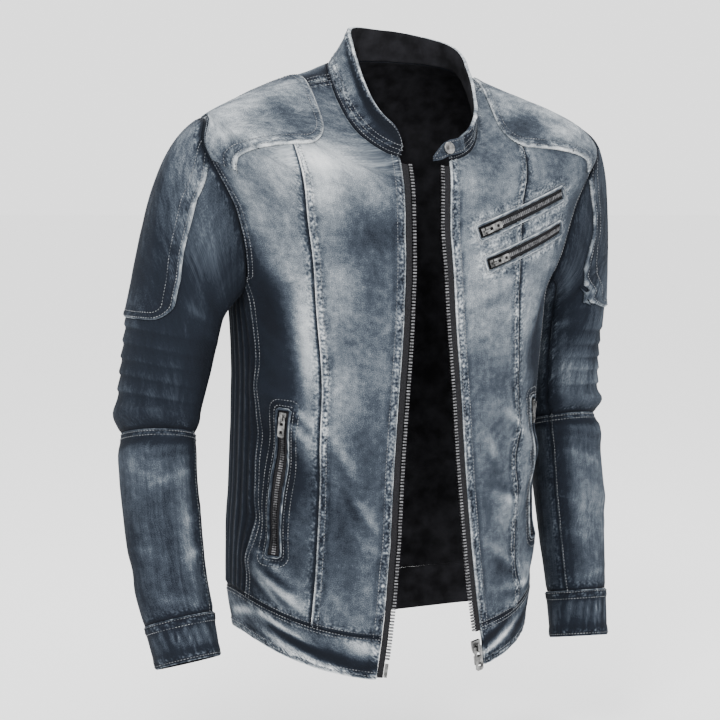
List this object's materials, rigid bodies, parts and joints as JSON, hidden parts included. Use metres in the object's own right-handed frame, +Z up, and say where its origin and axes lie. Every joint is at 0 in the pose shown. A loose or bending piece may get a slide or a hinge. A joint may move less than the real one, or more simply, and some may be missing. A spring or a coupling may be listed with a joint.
{
  "type": "denim jacket",
  "caption": "Denim biker jacket in its worn shape, open at the front, with stand collar and snap tab, princess seams, tucked sides, shoulder and sleeve patches and zipped pockets.",
  "frame": {"origin": "between the shoulders at the height where the neck seam crosses the shoulder line, where the wearer's shoulders carry the jacket", "axes": "+X towards the wearer's left, -Y to the front, +Z up"},
  "size_m": [0.6033, 0.2375, 0.7057],
  "materials": {
    "denim": "stone-washed pale blue-grey twill",
    "dark_denim": "dark blue-grey washed twill",
    "patch_denim": "mid grey mottled twill",
    "zip_tape": "woven black tape",
    "aged_metal": "aged silver"
  },
  "bodies": {
    "jacket": {"front_centre_right": "denim", "front_side_right": "denim", "side_tucked_right": "dark_denim", "sleeve_upper_top_right": "dark_denim", "sleeve_upper_under_right": "dark_denim", "sleeve_lower_top_right": "dark_denim", "sleeve_lower_under_right": "dark_denim", "cuff_right": "dark_denim", "sleeve_patch_right": "dark_denim", "shoulder_patch_right": "patch_denim", "zip_tape_right": "zip_tape", "zip_teeth_right": "aged_metal", "front_centre_left": "denim", "front_side_left": "denim", "side_tucked_left": "dark_denim", "sleeve_upper_top_left": "dark_denim", "sleeve_upper_under_left": "dark_denim", "sleeve_lower_top_left": "dark_denim", "sleeve_lower_under_left": "dark_denim", "cuff_left": "dark_denim", "sleeve_patch_left": "dark_denim", "shoulder_patch_left": "patch_denim", "zip_tape_left": "zip_tape", "zip_teeth_left": "aged_metal", "back": "denim", "hem_band": "patch_denim", "collar": "patch_denim", "collar_tab": "patch_denim", "collar_snap": "aged_metal", "zip_pin": "aged_metal", "zip_box": "aged_metal", "zip_slider": "aged_metal", "pocket_hand_right_welt": "denim", "pocket_hand_right_tape": "zip_tape", "pocket_hand_right_teeth": "aged_metal", "pocket_hand_right_slider": "aged_metal", "pocket_hand_left_welt": "denim", "pocket_hand_left_tape": "zip_tape", "pocket_hand_left_teeth": "aged_metal", "pocket_hand_left_slider": "aged_metal", "pocket_chest_upper_welt": "denim", "pocket_chest_upper_tape": "zip_tape", "pocket_chest_upper_teeth": "aged_metal", "pocket_chest_upper_slider": "aged_metal", "pocket_chest_lower_welt": "denim", "pocket_chest_lower_tape": "zip_tape", "pocket_chest_lower_teeth": "aged_metal", "pocket_chest_lower_slider": "aged_metal"},
    "zip_pull_tab": {"zip_pull": "aged_metal"},
    "pocket_hand_right_pull_tab": {"pocket_hand_right_pull": "aged_metal"},
    "pocket_hand_left_pull_tab": {"pocket_hand_left_pull": "aged_metal"},
    "pocket_chest_upper_pull_tab": {"pocket_chest_upper_pull": "aged_metal"},
    "pocket_chest_lower_pull_tab": {"pocket_chest_lower_pull": "aged_metal"}
  },
  "joints": [
    {"name": "zip_pull_swing", "type": "hinge", "parent": "jacket", "child": "zip_pull_tab", "pos_m": [0.05218, -0.09438, -0.62239], "axis": [-0.9614, -0.2028, -0.1859], "range_deg": [0, 150]},
    {"name": "pocket_hand_right_pull_swing", "type": "hinge", "parent": "jacket", "child": "pocket_hand_right_pull_tab", "pos_m": [-0.16153, -0.05478, -0.36277], "axis": [-0.685, 0.7205, 0.108], "range_deg": [0, 150]},
    {"name": "pocket_hand_left_pull_swing", "type": "hinge", "parent": "jacket", "child": "pocket_hand_left_pull_tab", "pos_m": [0.14434, -0.05256, -0.36325], "axis": [-0.6918, -0.7188, -0.0693], "range_deg": [0, 150]},
    {"name": "pocket_chest_upper_pull_swing", "type": "hinge", "parent": "jacket", "child": "pocket_chest_upper_pull_tab", "pos_m": [0.05966, -0.09852, -0.16608], "axis": [0.3419, -0.0282, -0.9393], "range_deg": [0, 150]},
    {"name": "pocket_chest_lower_pull_swing", "type": "hinge", "parent": "jacket", "child": "pocket_chest_lower_pull_tab", "pos_m": [0.06984, -0.09837, -0.2007], "axis": [0.3136, 0.0506, -0.9482], "range_deg": [0, 150]}
  ]
}
